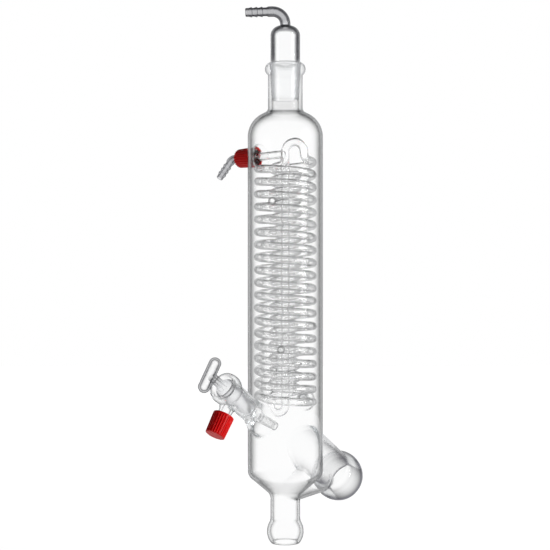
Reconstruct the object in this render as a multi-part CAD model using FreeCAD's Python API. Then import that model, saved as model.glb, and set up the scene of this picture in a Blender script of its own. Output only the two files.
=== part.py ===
import FreeCAD, Part
import math
import os
from FreeCAD import Placement, Rotation, Vector

# Vertical coil condenser for a rotary evaporator, in blown and fused borosilicate glass.
# Millimetres, +Z up. The origin is the middle of the opening of the ball joint at the bottom.
# The feed stopcock and the vapour tube lie in one upright plane through the axis.

# Jacket: a tube with a cone below and a domed shoulder above
jacket_od = 71.5
jacket_wall = 2.2
shoulder_height = 400.0
shoulder_radius = 24.0
shoulder_slope = 26.3
shoulder_fillet = 5.0
cone_bottom = 45.6
cone_half_angle = 49.5
cone_fillet = 9.0
side_plane_angle = 48.0

# Ball joint and neck at the bottom
ball_d = 35.0
ball_wall = 2.8
ball_height = 10.7
neck_od = 28.2
neck_wall = 2.1
ball_fillet = 2.5

# Ground joint at the top: the socket of the jacket and the cone of the vacuum adapter
joint_large_d = 29.2
joint_length = 32.0
joint_taper = 0.1
joint_rise = 52.0
joint_gap = 0.04
socket_od = 33.0
socket_bead_d = 38.8
socket_bead_length = 11.0
socket_lip_d = 31.5

# Vacuum adapter
adapter_od = 28.1
adapter_wall = 1.5
adapter_rise = 35.5
adapter_dome_radius = 9.0
adapter_dome_slope = 20.4
adapter_root_fillet = 1.5
vacuum_tube_od = 9.8
vacuum_tube_wall = 1.4
vacuum_bend_radius = 12.0
vacuum_neck = 1.27
vacuum_droop = 2.0
vacuum_reach = 38.0

# Cooling coil, one long tube: in at the upper port, down the middle, up the inner coil,
# over the arch, down the outer coil and out at the lower nozzle
coil_tube_od = 8.0
coil_tube_wall = 1.0
coil_pitch = 11.95
coil_drop = 8.05
coil_clearance = 34.4
outer_coil_radius = 26.0
outer_start_angle = -35.0
outer_end_angle = 30.0
inner_coil_radius = 11.9
inner_end_angle = -120.5
foot_angle = 180.0
foot_drop = 10.6
arch_rise = 9.8
coil_bend_radius = 7.0
arcs_per_turn = 4
weld_gap = 0.05

# Two glass studs on the outer coil keep it off the wall: azimuth, and turns down from the top
stud_d = 7.0
stud_gap = 0.3
stud_places = [(-118.0, 3.5), (-99.0, 15.0)]

# Upper water port, a threaded tube end
port_angle = 135.0
port_drop = 31.3
port_end = 57.2
thread_d = 13.9
thread_edge = 0.8
port_root_d = 24.0
port_root_end = 41.0
root_fillet = 4.0

# Screw caps
cap_length = 20.5
cap_rim_d = 19.8
cap_end_d = 18.4
cap_bore_d = 14.4
cap_end_wall = 2.2
cap_edge = 0.7
cap_rib_count = 24
cap_groove_d = 1.5
cap_groove_depth = 0.5
cap_rim_band = 2.2
cap_hole_d = 9.8

# Hose connector under the cap of the water port, and its seal
connector_od = 8.4
connector_bore_d = 4.8
connector_flange_d = 12.8
connector_flange = 1.8
connector_corner = 15.7
connector_bend_radius = 10.0
connector_bend_angle = 43.0
connector_arm = 26.0
seal_d = 13.0
seal_hole_d = 6.5
seal_thickness = 1.6

# Hose barbs
barb_count = 3
barb_pitch = 5.0
barb_height = 0.8
barb_tip_setback = 5.5
barb_step = 1.2
barb_tip_radius = 1.0

# Lower water nozzle on the back
nozzle_od = 9.0
nozzle_reach = 62.0
nozzle_root_d = 20.0
nozzle_root_end = 37.0

# Vapour tube with its rounded flange
flange_axis_height = 104.0
flange_slope = 32.5
flange_root_d = 47.0
flange_neck_d = 41.0
flange_bore_d = 36.6
flange_d = 49.2
flange_neck = 78.5
flange_middle = 95.0
flange_end = 107.0
flange_face_d = 41.2
tube_start = 15.0

# Flared web under the vapour tube, where its seal runs down to the neck
web_height = 50.8
web_rise = 8.7
web_reach = 54.0
web_neck_d = 28.0
web_tube_d = 36.0
web_wall = 2.2
web_end_wall = 3.0
web_end_radius = 8.0

# Feed stopcock: barrel with a cup, in one piece with the jacket
barrel_axis_height = 97.2
barrel_slope = 34.0
barrel_od = 22.0
barrel_root_d = 31.0
barrel_root_start = 42.0
barrel_root_end = 54.0
barrel_root_fillet = 12.0
barrel_floor = 47.0
barrel_floor_wall = 2.2
barrel_floor_d = 13.6
cup_d = 29.4
cup_neck = 86.5
cup_middle = 97.0
cup_end = 102.5
cup_face_d = 26.6
cup_bore_d = 22.0
cup_bore_depth = 5.5

# Stopcock key: a hollow ground plug with a handle
plug_large_d = 18.8
plug_length = 36.0
plug_wall = 2.0
plug_gap = 0.04
plug_dome = 3.6
plug_hole_d = 5.0
stem_d = 8.6
stem_collar_d = 11.4
stem_collar_length = 4.0
handle_station = 121.2
handle_d = 11.2
handle_length = 35.0
handle_wall = 1.7
handle_hole_d = 3.6

# Side arm of the stopcock, closed by a cap with a liner
arm_station = 85.6
arm_end = 37.1
arm_bore_d = 7.5
arm_root_d = 19.0
arm_root_start = 8.0
arm_root_end = 17.0
liner_d = 13.6
liner_thickness = 2.0

# Feed nozzle inside the jacket, aimed at the vapour tube
feed_od = 8.0
feed_bore_d = 5.0
feed_slope = 26.0
feed_tip_radius = 14.7


def direction(azimuth, elevation):
    a = math.radians(azimuth)
    e = math.radians(elevation)
    return Vector(math.cos(e) * math.cos(a), math.cos(e) * math.sin(a), math.sin(e))


def placed(shape, origin, axis):
    """A shape made along +Z, moved so that it starts at origin and runs along axis."""
    moved = shape.copy()
    moved.Placement = Placement(origin, Rotation(Vector(0, 0, 1), axis))
    return moved


def rounded_run(points, radii):
    """Edges of straight runs through points, with a tangent arc at each inner point.

    A radius of 0 leaves a sharp corner.
    """
    edges = []
    here = points[0]
    for before, corner, after, radius in zip(points, points[1:], points[2:], radii):
        first = middle = last = corner
        if radius > 0:
            back = (before - corner).normalize()
            ahead = (after - corner).normalize()
            half = back.getAngle(ahead) / 2
            inward = (back + ahead).normalize()
            first = corner + back * (radius / math.tan(half))
            last = corner + ahead * (radius / math.tan(half))
            middle = corner + inward * (radius / math.sin(half) - radius)
        if (first - here).Length > 1e-6:
            edges.append(Part.LineSegment(here, first).toShape())
        if radius > 0:
            edges.append(Part.Arc(first, middle, last).toShape())
        here = last
    if (points[-1] - here).Length > 1e-6:
        edges.append(Part.LineSegment(here, points[-1]).toShape())
    return edges


def turned(*stretches):
    """A solid turned about Z from an outline that starts and ends on the axis.

    Each stretch is a list of (radius, height) or (radius, height, fillet) corners. Where one
    stretch ends away from the start of the next, the point between them, given as a pair, is
    on an arc that joins them.
    """
    edges = []
    end = None
    bulge = None
    for stretch in stretches:
        if isinstance(stretch, tuple):
            bulge = Vector(stretch[0], 0, stretch[1])
            continue
        points = [Vector(corner[0], 0, corner[1]) for corner in stretch]
        radii = [corner[2] if len(corner) > 2 else 0 for corner in stretch[1:-1]]
        if bulge is not None:
            edges.append(Part.Arc(end, bulge, points[0]).toShape())
            bulge = None
        edges += rounded_run(points, radii)
        end = points[-1]
    start = edges[0].firstVertex().Point
    edges.append(Part.LineSegment(end, start).toShape())
    face = Part.Face(Part.Wire(edges))
    return face.revolve(Vector(0, 0, 0), Vector(0, 0, 1), 360)


def rod(diameter, start, end, origin, axis):
    """A round bar along axis, from start to end."""
    return Part.makeCylinder(diameter / 2, end - start, origin + axis * start, axis)


def tapered(start_d, end_d, length, end_radius):
    """A tapering round bar along +Z from 0, with a rounded far end."""
    return turned([
        (0, 0),
        (start_d / 2, 0),
        (end_d / 2, length, end_radius),
        (0, length),
    ])


def swept(diameter, edges):
    """A round bar along a path."""
    path = Part.Wire(edges)
    first = path.Edges[0]
    start = first.valueAt(first.FirstParameter)
    ahead = first.tangentAt(first.FirstParameter)
    section = Part.Wire([Part.makeCircle(diameter / 2, start, ahead)])
    return path.makePipeShell([section], True, False)


def barbed_tip(tube_d, start, end):
    """The barbed end of a hose tube, along +Z from start to end."""
    tube_r = tube_d / 2
    corners = [(0, start), (tube_r, start)]
    for k in range(barb_count, 0, -1):
        station = end - barb_tip_setback - (k - 1) * barb_pitch
        corners.append((tube_r, station - barb_step))
        corners.append((tube_r + barb_height, station - barb_step / 2, barb_step / 4))
        corners.append((tube_r, station + barb_pitch / 2))
    corners += [(tube_r, end, barb_tip_radius), (0, end)]
    return turned(corners)


def root_and_tube(root_d, tube_d, start, root_start, root_end, end, fillet, edge):
    """A tube whose root widens where it is welded on, along +Z from start to end."""
    return turned([
        (0, start),
        (root_d / 2, start),
        (root_d / 2, root_start),
        (tube_d / 2, root_end, fillet),
        (tube_d / 2, end, edge),
        (0, end),
    ])


def helix_point(radius, rise, angle, height):
    """A point of a helix that stands at height where its angle is 0."""
    a = math.radians(angle)
    return Vector(radius * math.cos(a), radius * math.sin(a), height + rise * angle / 360)


def helix_tangent(radius, rise, angle):
    a = math.radians(angle)
    return Vector(-radius * math.sin(a), radius * math.cos(a), rise / (2 * math.pi)).normalize()


def helix_arcs(radius, rise, start, end, height):
    """A helix as short arcs from angle start to angle end."""
    count = round((end - start) * arcs_per_turn / 360)
    step = (end - start) / count
    edges = []
    for k in range(count):
        points = [helix_point(radius, rise, start + (k + part) * step, height) for part in (0, 0.5, 1)]
        edges.append(Part.Arc(*points).toShape())
    return edges


def at_height(point, height):
    return Vector(point.x, point.y, height)


jacket_r = jacket_od / 2
bore_r = jacket_r - jacket_wall
neck_r = neck_od / 2
neck_bore_r = neck_r - neck_wall
socket_r = socket_od / 2
joint_large_r = joint_large_d / 2
joint_small_r = joint_large_r - joint_length * joint_taper / 2
joint_top = shoulder_height + joint_rise
joint_bottom = joint_top - joint_length
joint_slope = joint_taper / 2
origin = Vector(0, 0, 0)
up = Vector(0, 0, 1)

flange_axis = direction(side_plane_angle, -flange_slope)
flange_base = Vector(0, 0, flange_axis_height)
barrel_axis = direction(side_plane_angle + 180, barrel_slope)
barrel_base = Vector(0, 0, barrel_axis_height)
handle_axis = barrel_axis.cross(up.cross(barrel_axis)).normalize()
arm_axis = handle_axis * -1
arm_base = barrel_base + barrel_axis * arm_station
port_axis = direction(port_angle, 0)
port_base = Vector(0, 0, shoulder_height - port_drop)


def cone_height(radius):
    """Height of the outside of the lower cone at a radius."""
    return cone_bottom + (radius - neck_r) / math.tan(math.radians(cone_half_angle))


def shoulder_line(radius):
    """Height of the outside of the sloping shoulder at a radius."""
    return shoulder_height + (jacket_r - radius) * math.tan(math.radians(shoulder_slope))


def jacket_outside():
    ball_r = ball_d / 2
    opening_r = math.sqrt(ball_r ** 2 - ball_height ** 2)
    ball_top = ball_height + math.sqrt(ball_r ** 2 - neck_r ** 2)
    bead_top = joint_top + socket_bead_length / 4
    bead_low = bead_top - socket_bead_length
    solid = turned(
        [(0, 0), (opening_r, 0)],
        (ball_r, ball_height),
        [
            (neck_r, ball_top),
            (neck_r, cone_bottom, cone_fillet),
            (jacket_r, cone_height(jacket_r), cone_fillet),
            (jacket_r, shoulder_height, shoulder_radius),
            (socket_r, shoulder_line(socket_r), shoulder_fillet),
            (socket_r, bead_low),
        ],
        (socket_bead_d / 2, (bead_low + bead_top) / 2),
        [(socket_r, bead_top), (0, bead_top)],
    )
    ring = [edge for edge in solid.Edges if abs(edge.CenterOfMass.z - ball_top) < 0.01
            and abs(edge.Length - 2 * math.pi * neck_r) < 0.01]
    return solid.makeFillet(ball_fillet, ring), bead_top


def jacket_inside(mouth):
    cone_shift = jacket_wall / math.sin(math.radians(cone_half_angle))
    shoulder_shift = jacket_wall / math.cos(math.radians(shoulder_slope))
    ball_bore_r = ball_d / 2 - ball_wall
    ball_reach = math.sqrt(ball_bore_r ** 2 - neck_bore_r ** 2)
    opening = [(0, -1), (neck_bore_r, -1), (neck_bore_r, ball_height - ball_reach)]
    return turned(opening, (ball_bore_r, ball_height), [
        (neck_bore_r, ball_height + ball_reach),
        (neck_bore_r, cone_height(neck_bore_r) + cone_shift, cone_fillet),
        (bore_r, cone_height(bore_r) + cone_shift, cone_fillet - jacket_wall),
        (bore_r, shoulder_line(bore_r) - shoulder_shift, shoulder_radius - jacket_wall),
        (joint_small_r, shoulder_line(joint_small_r) - shoulder_shift, shoulder_fillet),
        (joint_small_r + joint_gap, joint_bottom),
        (joint_large_r + joint_gap, joint_top),
        (socket_lip_d / 2, mouth),
        (socket_lip_d / 2, mouth + 1),
        (0, mouth + 1),
    ])


def barrel_outside():
    return turned(
        [
            (0, tube_start * 2),
            (barrel_root_d / 2, tube_start * 2),
            (barrel_root_d / 2, barrel_root_start),
            (barrel_od / 2, barrel_root_end, barrel_root_fillet),
            (barrel_od / 2, cup_neck),
        ],
        (cup_d / 2, cup_middle),
        [(cup_face_d / 2, cup_end), (0, cup_end)],
    )


def barrel_inside():
    large_r = plug_large_d / 2 + plug_gap
    plug_top = cup_end - cup_bore_depth
    small_r = large_r - plug_length * joint_slope
    return turned([
        (0, barrel_floor),
        (barrel_floor_d / 2, barrel_floor, 3),
        (barrel_floor_d / 2, plug_top - plug_length),
        (small_r, plug_top - plug_length),
        (large_r, plug_top),
        (cup_bore_d / 2, plug_top),
        (cup_bore_d / 2, cup_end + 1),
        (0, cup_end + 1),
    ])


def barrel_root_inside():
    """The hollow of the barrel's root, on the jacket's side of the barrel's floor."""
    hollow_r = barrel_root_d / 2 - jacket_wall
    hollow_end = barrel_floor - barrel_floor_wall
    return turned([
        (0, tube_start * 2),
        (hollow_r, tube_start * 2),
        (hollow_r, barrel_root_start - jacket_wall, jacket_wall),
        (barrel_floor_d / 2 + jacket_wall, hollow_end, jacket_wall),
        (0, hollow_end),
    ])


def feed_run():
    """Start, end and direction of the feed nozzle's axis."""
    start = barrel_base + barrel_axis * barrel_floor
    inward = direction(side_plane_angle, -feed_slope)
    level = math.hypot(start.x, start.y) - feed_tip_radius
    return start, start + inward * (level / math.cos(math.radians(feed_slope))), inward


def glass_jacket():
    outside, mouth = jacket_outside()
    flange = turned(
        [(0, tube_start), (flange_root_d / 2, tube_start), (flange_neck_d / 2, flange_neck)],
        (flange_d / 2, flange_middle),
        [(flange_face_d / 2, flange_end), (0, flange_end)],
    )
    web_base = Vector(0, 0, web_height)
    web_end = direction(side_plane_angle, 0) * web_reach + Vector(0, 0, web_rise)
    web = tapered(web_neck_d, web_tube_d, web_end.Length, web_end_radius)
    web_inside = tapered(web_neck_d - 2 * web_wall, web_tube_d - 2 * web_wall,
                         web_end.Length - web_end_wall, web_end_radius - web_wall)
    port = root_and_tube(port_root_d, thread_d, tube_start * 2, jacket_r + 1, port_root_end,
                         port_end, root_fillet, thread_edge)
    arm = root_and_tube(arm_root_d, thread_d, 0, arm_root_start, arm_root_end, arm_end,
                        root_fillet, thread_edge)
    nozzle_base = Vector(coil_exit.x, 0, coil_exit.z)
    back = Vector(0, 1, 0)
    wall_y = math.sqrt(jacket_r ** 2 - coil_exit.x ** 2)
    nozzle_root = root_and_tube(nozzle_root_d, nozzle_od, tube_start, wall_y + 1, nozzle_root_end,
                                nozzle_reach - 4 * barb_pitch, root_fillet, 0)
    nozzle_tip = barbed_tip(nozzle_od, nozzle_reach - 4 * barb_pitch, nozzle_reach)
    shell = outside.fuse([
        placed(flange, flange_base, flange_axis),
        placed(web, web_base, web_end),
        placed(barrel_outside(), barrel_base, barrel_axis),
        placed(arm, arm_base, arm_axis),
        placed(port, port_base, port_axis),
        placed(nozzle_root, nozzle_base, back),
        placed(nozzle_tip, nozzle_base, back),
    ])
    shell = shell.cut([
        jacket_inside(mouth),
        placed(web_inside, web_base, web_end),
        placed(barrel_root_inside(), barrel_base, barrel_axis),
    ])
    feed_start, feed_end, inward = feed_run()
    feed_length = (feed_end - feed_start).Length
    shell = shell.fuse(rod(feed_od, barrel_floor_wall / 2, feed_length, feed_start, inward))
    tube_hole = coil_tube_od + 2 * weld_gap
    coil_bore = coil_tube_od - 2 * coil_tube_wall
    shell = shell.cut([
        rod(flange_bore_d, tube_start, flange_end + 1, flange_base, flange_axis),
        placed(barrel_inside(), barrel_base, barrel_axis),
        rod(arm_bore_d, 0, arm_end + 1, arm_base, arm_axis),
        rod(feed_bore_d, -2, feed_length + 1, feed_start, inward),
        rod(tube_hole, tube_start, port_tube_end, port_base, port_axis),
        rod(coil_bore, tube_start, port_end + 1, port_base, port_axis),
        rod(tube_hole, tube_start, wall_y, nozzle_base, back),
        rod(coil_bore, tube_start, nozzle_reach + 1, nozzle_base, back),
    ])
    return shell.removeSplitter()


port_tube_end = jacket_r + 4

# The inner coil climbs as its angle grows and the outer coil falls, so the tube keeps turning
# the same way over the arch.
coil_top = shoulder_height - port_drop - coil_drop
arch_height = shoulder_height - port_drop + arch_rise
outer_coil_turns = int((coil_top - barrel_axis_height - coil_clearance) / coil_pitch)
inner_coil_turns = outer_coil_turns - 1
foot_lead = math.degrees(math.atan2(coil_bend_radius, inner_coil_radius))
inner_end = inner_end_angle + 360 * (inner_coil_turns + 1)
inner_start = foot_angle + foot_lead
inner_height = coil_top - coil_pitch * (inner_coil_turns + 1)
foot_height = inner_height - foot_drop
outer_end = outer_end_angle + 360 * outer_coil_turns
inner_first = helix_point(inner_coil_radius, coil_pitch, inner_start, inner_height)
inner_last = helix_point(inner_coil_radius, coil_pitch, inner_end, inner_height)
outer_first = helix_point(outer_coil_radius, -coil_pitch, outer_start_angle, coil_top)
outer_last = helix_point(outer_coil_radius, -coil_pitch, outer_end, coil_top)
foot_leg = inner_first - helix_tangent(inner_coil_radius, coil_pitch, inner_start) * coil_bend_radius
inner_leg = inner_last + helix_tangent(inner_coil_radius, coil_pitch, inner_end) * coil_bend_radius
outer_leg = outer_first - (
    helix_tangent(outer_coil_radius, -coil_pitch, outer_start_angle) * coil_bend_radius)
coil_exit = outer_last + helix_tangent(outer_coil_radius, -coil_pitch, outer_end) * coil_bend_radius


def coil_path():
    foot_r = math.hypot(foot_leg.x, foot_leg.y) / 2
    arch_r = (at_height(inner_leg, 0) - at_height(outer_leg, 0)).Length / 2
    bend = coil_bend_radius
    inlet = [
        port_base + port_axis * port_tube_end,
        port_base,
        Vector(0, 0, foot_height),
        at_height(foot_leg, foot_height),
        foot_leg,
        inner_first,
    ]
    arch = [
        inner_last,
        inner_leg,
        at_height(inner_leg, arch_height),
        at_height(outer_leg, arch_height),
        outer_leg,
        outer_first,
    ]
    wall_y = math.sqrt(jacket_r ** 2 - coil_exit.x ** 2)
    outlet = [outer_last, coil_exit, Vector(coil_exit.x, wall_y, coil_exit.z)]
    edges = rounded_run(inlet, [bend, foot_r, foot_r, bend])
    edges += helix_arcs(inner_coil_radius, coil_pitch, inner_start, inner_end, inner_height)
    edges += rounded_run(arch, [bend, arch_r, arch_r, bend])
    edges += helix_arcs(outer_coil_radius, -coil_pitch, outer_start_angle, outer_end, coil_top)
    edges += rounded_run(outlet, [bend])
    return edges


def cooling_coil():
    path = coil_path()
    studs = []
    for azimuth, turns in stud_places:
        strand = helix_point(outer_coil_radius, -coil_pitch, azimuth, coil_top - turns * coil_pitch)
        wall_y = -math.sqrt(bore_r ** 2 - (abs(strand.x) + stud_d / 2) ** 2)
        length = strand.y - wall_y - stud_gap
        studs.append(Part.makeCylinder(stud_d / 2, length, strand, Vector(0, -1, 0)))
    tube = swept(coil_tube_od, path).fuse(studs)
    return tube.cut(swept(coil_tube_od - 2 * coil_tube_wall, path))


def vacuum_adapter():
    tube_r = vacuum_tube_od / 2
    tube_bore_r = tube_r - vacuum_tube_wall
    body_r = adapter_od / 2
    bore_r = body_r - adapter_wall
    rise = math.tan(math.radians(adapter_dome_slope))
    adapter_shoulder = joint_top + adapter_rise
    tube_foot = adapter_shoulder + (body_r - tube_r) * rise
    inner_shoulder = adapter_shoulder - adapter_wall
    inner_foot = inner_shoulder + (bore_r - tube_bore_r) * rise
    bend_tangent = vacuum_bend_radius / math.tan(math.radians(45 - vacuum_droop / 2))
    bend_start = tube_foot + vacuum_neck
    body = turned([
        (0, joint_bottom),
        (joint_small_r, joint_bottom, 0.6),
        (joint_large_r, joint_top, 1.5),
        (body_r, joint_top + 2.5, 1.5),
        (body_r, adapter_shoulder, adapter_dome_radius),
        (tube_r, tube_foot, adapter_root_fillet),
        (tube_r, bend_start),
        (0, bend_start),
    ])
    hollow = turned([
        (0, joint_bottom - 1),
        (joint_small_r - adapter_wall, joint_bottom - 1),
        (bore_r, joint_top),
        (bore_r, inner_shoulder, adapter_dome_radius - adapter_wall),
        (tube_bore_r, inner_foot, adapter_root_fillet),
        (tube_bore_r, bend_start),
        (0, bend_start),
    ])
    side = direction(180, -vacuum_droop)
    start = Vector(0, 0, adapter_shoulder)
    corner = Vector(0, 0, bend_start + bend_tangent)
    tip_start = vacuum_reach - 4 * barb_pitch
    bend = rounded_run([start, corner, corner + side * tip_start], [vacuum_bend_radius])
    bore = rounded_run([start, corner, corner + side * (vacuum_reach + 1)], [vacuum_bend_radius])
    tip = barbed_tip(vacuum_tube_od - 2 * barb_height, tip_start, vacuum_reach)
    solid = body.fuse([swept(vacuum_tube_od, bend), placed(tip, corner, side)])
    return solid.cut([hollow, swept(2 * tube_bore_r, bore)]).removeSplitter()


def stopcock_key():
    plug_top = cup_end - cup_bore_depth
    plug_foot = plug_top - plug_length
    large_r = plug_large_d / 2
    small_r = large_r - plug_length * joint_slope
    stem_r = stem_d / 2
    collar_low = plug_top + plug_dome
    plug = turned(
        [
            (0, plug_foot),
            (small_r, plug_foot, 0.5),
            (large_r, plug_top),
            (large_r, plug_top + plug_dome, plug_dome - 0.4),
            (stem_r, collar_low),
        ],
        (stem_collar_d / 2, collar_low + stem_collar_length / 2),
        [(stem_r, collar_low + stem_collar_length), (stem_r, handle_station), (0, handle_station)],
    )
    hollow = turned([
        (0, plug_foot - 1),
        (small_r - plug_wall, plug_foot - 1),
        (small_r - plug_wall, plug_foot),
        (large_r - plug_wall, plug_top),
        (large_r - plug_wall, plug_top + plug_dome - plug_wall, 1.0),
        (handle_hole_d / 2, plug_top + plug_dome - plug_wall),
        (handle_hole_d / 2, handle_station),
        (0, handle_station),
    ])
    hole = rod(plug_hole_d, 0, plug_large_d, arm_base, arm_axis)
    centre = barrel_base + barrel_axis * handle_station
    solid = placed(plug, barrel_base, barrel_axis).fuse(capsule(handle_d, handle_length, centre))
    inner_length = handle_length - 2 * handle_wall
    cuts = [
        placed(hollow, barrel_base, barrel_axis),
        hole,
        capsule(handle_d - 2 * handle_wall, inner_length, centre),
    ]
    return solid.cut(cuts).removeSplitter()


def capsule(diameter, length, centre):
    """A bar with round ends, centred, along the handle."""
    reach = length / 2
    bar = turned([
        (0, -reach),
        (diameter / 2, -reach, diameter / 2 - 0.05),
        (diameter / 2, reach, diameter / 2 - 0.05),
        (0, reach),
    ])
    return placed(bar, centre, handle_axis)


def screw_cap(hole_d):
    """A cap with its open rim at 0 and its end at cap_length, along +Z."""
    rim_r = cap_rim_d / 2
    end_r = cap_end_d / 2
    body = turned([
        (0, 0),
        (rim_r, 0, cap_edge),
        (end_r, cap_length, cap_edge),
        (0, cap_length),
    ])
    lean = (rim_r - end_r) / cap_length
    along = Vector(-lean, 0, 1)
    offset = cap_groove_d / 2 - cap_groove_depth
    start = Vector(rim_r - lean * cap_rim_band + offset, 0, cap_rim_band)
    groove = Part.makeCylinder(cap_groove_d / 2, cap_length, start, along)
    cuts = []
    for k in range(cap_rib_count):
        cut = groove.copy()
        cut.rotate(origin, up, 360 * k / cap_rib_count)
        cuts.append(cut)
    cuts.append(Part.makeCylinder(cap_bore_d / 2, cap_length - cap_end_wall))
    if hole_d > 0:
        cuts.append(Part.makeCylinder(hole_d / 2, cap_length))
    return body.cut(cuts)


def ring(outer_d, hole_d, thickness):
    disc = Part.makeCylinder(outer_d / 2, thickness)
    if hole_d > 0:
        disc = disc.cut(Part.makeCylinder(hole_d / 2, thickness))
    return disc


def hose_connector():
    """The bent connector with its flange, from its seat on the seal."""
    seat = port_base + port_axis * (port_end + seal_thickness)
    corner = seat + port_axis * connector_corner
    lower = direction(port_angle, -connector_bend_angle)
    tip_start = connector_arm - 4 * barb_pitch
    stem_d = connector_od - 2 * barb_height
    flange = placed(ring(connector_flange_d, 0, connector_flange), seat, port_axis)
    bend = [seat, corner, corner + lower * tip_start]
    bore = [seat - port_axis, corner, corner + lower * (connector_arm + 1)]
    solid = flange.fuse([
        swept(connector_od, rounded_run(bend, [connector_bend_radius])),
        placed(barbed_tip(stem_d, tip_start, connector_arm), corner, lower),
    ])
    bore_run = swept(connector_bore_d, rounded_run(bore, [connector_bend_radius]))
    return solid.cut(bore_run).removeSplitter()


port_cap_start = port_end + seal_thickness + connector_flange + cap_end_wall - cap_length
arm_cap_start = arm_end + liner_thickness + cap_end_wall - cap_length

parts = {
    "glass_jacket": glass_jacket(),
    "cooling_coil": cooling_coil(),
    "vacuum_adapter": vacuum_adapter(),
    "stopcock_key": stopcock_key(),
    "arm_cap": placed(screw_cap(0), arm_base + arm_axis * arm_cap_start, arm_axis),
    "arm_liner": placed(ring(liner_d, 0, liner_thickness), arm_base + arm_axis * arm_end, arm_axis),
    "port_cap": placed(screw_cap(cap_hole_d), port_base + port_axis * port_cap_start, port_axis),
    "port_seal": placed(ring(seal_d, seal_hole_d, seal_thickness),
                        port_base + port_axis * port_end, port_axis),
    "hose_connector": hose_connector(),
}

os.makedirs("parts", exist_ok=True)
for name, shape in parts.items():
    solids = shape.Solids
    if len(solids) != 1 or not shape.isValid():
        raise ValueError(f"{name} has {len(solids)} solids, valid {shape.isValid()}")
    solids[0].exportStep(f"parts/{name}.step")
    box = shape.BoundBox
    print(f"{name:16s} {shape.Volume:10.0f} mm3  z {box.ZMin:7.1f} to {box.ZMax:7.1f}")
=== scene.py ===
import math

import bmesh
import bpy
from mathutils import Matrix, Vector


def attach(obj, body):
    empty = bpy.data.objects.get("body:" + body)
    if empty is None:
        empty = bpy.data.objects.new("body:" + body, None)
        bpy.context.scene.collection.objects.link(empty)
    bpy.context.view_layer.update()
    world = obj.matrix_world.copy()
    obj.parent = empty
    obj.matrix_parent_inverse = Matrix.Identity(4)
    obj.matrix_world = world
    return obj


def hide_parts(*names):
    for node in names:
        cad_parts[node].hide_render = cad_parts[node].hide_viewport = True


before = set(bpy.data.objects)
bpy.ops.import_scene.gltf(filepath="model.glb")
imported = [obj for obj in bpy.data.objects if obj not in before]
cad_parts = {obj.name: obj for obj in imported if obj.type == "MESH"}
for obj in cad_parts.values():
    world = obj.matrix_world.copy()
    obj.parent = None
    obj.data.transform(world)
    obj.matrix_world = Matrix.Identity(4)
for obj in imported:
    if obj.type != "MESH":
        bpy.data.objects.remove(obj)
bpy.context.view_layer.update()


# The jacket is one piece of clear borosilicate glass. Its tubes are blown, the ball, bead, cup
# and rounded flange are shaped hot on the lathe, and every side tube is fused on with a soft
# weld. Both screw threads are moulded on their tube ends before these are welded on.
mm = 0.001
up = Vector((0, 0, 1))
jacket_r = 35.75
jacket_wall = 2.2
bore_r = jacket_r - jacket_wall
shoulder_height = 400.0
shoulder_slope = 26.3
shoulder_fillet = 24.0
cone_bottom = 45.6
cone_half_angle = 49.5
cone_fillet = 9.0
neck_r = 14.1
neck_flare_r = neck_r + 0.55
neck_start = 23.4
neck_fillet = 4.0
neck_bore_r = 12.0
ball_r = 17.5
ball_wall = 2.8
ball_height = 10.7
socket_r = 16.5
socket_fillet = 5.0
joint_top = 452.0
joint_bottom = 420.0
joint_large_r = 14.6
joint_small_r = 13.0
joint_gap = 0.04
bead_r = 19.4
bead_start = joint_top - 8.25
bead_middle = joint_top - 2.75
mouth = joint_top + 2.75
mouth_bore_r = 15.75
side_plane_angle = 48.0
tube_root = 15.0
flange_root_r = 23.5
flange_neck_r = 20.5
flange_neck = 78.5
flange_crest_r = 24.6
flange_crest = 95.0
flange_lip_r = 20.6
flange_end = 107.0
flange_bore_d = 36.6
web_r = 14.0
web_inside_r = 11.8
web_flared_r = 18.0
web_flared_inside_r = 15.8
web_fillet = 8.0
web_end_wall = 3.0
barrel_root = 30.0
barrel_root_r = 15.5
barrel_root_bore_r = 13.3
barrel_r = 11.0
barrel_bore_r = 6.8
barrel_floor = 47.0
cup_neck = 86.5
cup_crest_r = 14.7
cup_crest = 97.0
cup_lip_r = 13.3
cup_end = 102.5
cup_bore_r = 11.0
plug_top = 97.0
plug_length = 36.0
plug_large_r = 9.4
plug_small_r = 7.6
feed_d = 8.0
feed_bore_d = 5.0
feed_fall = 26.0
arm_station = 85.6
arm_root_r = 9.5
arm_end = 37.1
arm_bore_d = 7.5
port_height = 368.7
port_root = 30.0
port_root_r = 12.0
port_end = 57.2
nozzle_root_r = 10.0
nozzle_r = 4.5
nozzle_end = 62.0
nozzle_seat = 30.3
barb_pitch = 5.0
barb_height = 0.8
barb_setback = 5.5
thread_core_r = 6.2
thread_edge = 0.8
thread_ridge_r = 0.75
thread_pitch = 2.5
thread_turns = 4.5
thread_lead = 1.5
seal_gap = 0.1
coil_tube_d = 8.0
coil_bore_d = 6.0


def direction(azimuth, elevation):
    a = math.radians(azimuth)
    e = math.radians(elevation)
    return Vector((math.cos(e) * math.cos(a), math.cos(e) * math.sin(a), math.sin(e)))


flange_axis = direction(side_plane_angle, -32.5)
flange_base = Vector((0, 0, 104.0))
barrel_axis = direction(side_plane_angle + 180, 34.0)
barrel_base = Vector((0, 0, 97.2))
handle_axis = direction(side_plane_angle, 56.0)
arm_axis = -handle_axis
arm_base = barrel_base + barrel_axis * arm_station
port_axis = direction(135.0, 0.0)
port_base = Vector((0, 0, port_height))
nozzle_axis = Vector((0, 1, 0))
nozzle_base = Vector((19.03, 0, 132.09))


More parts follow.
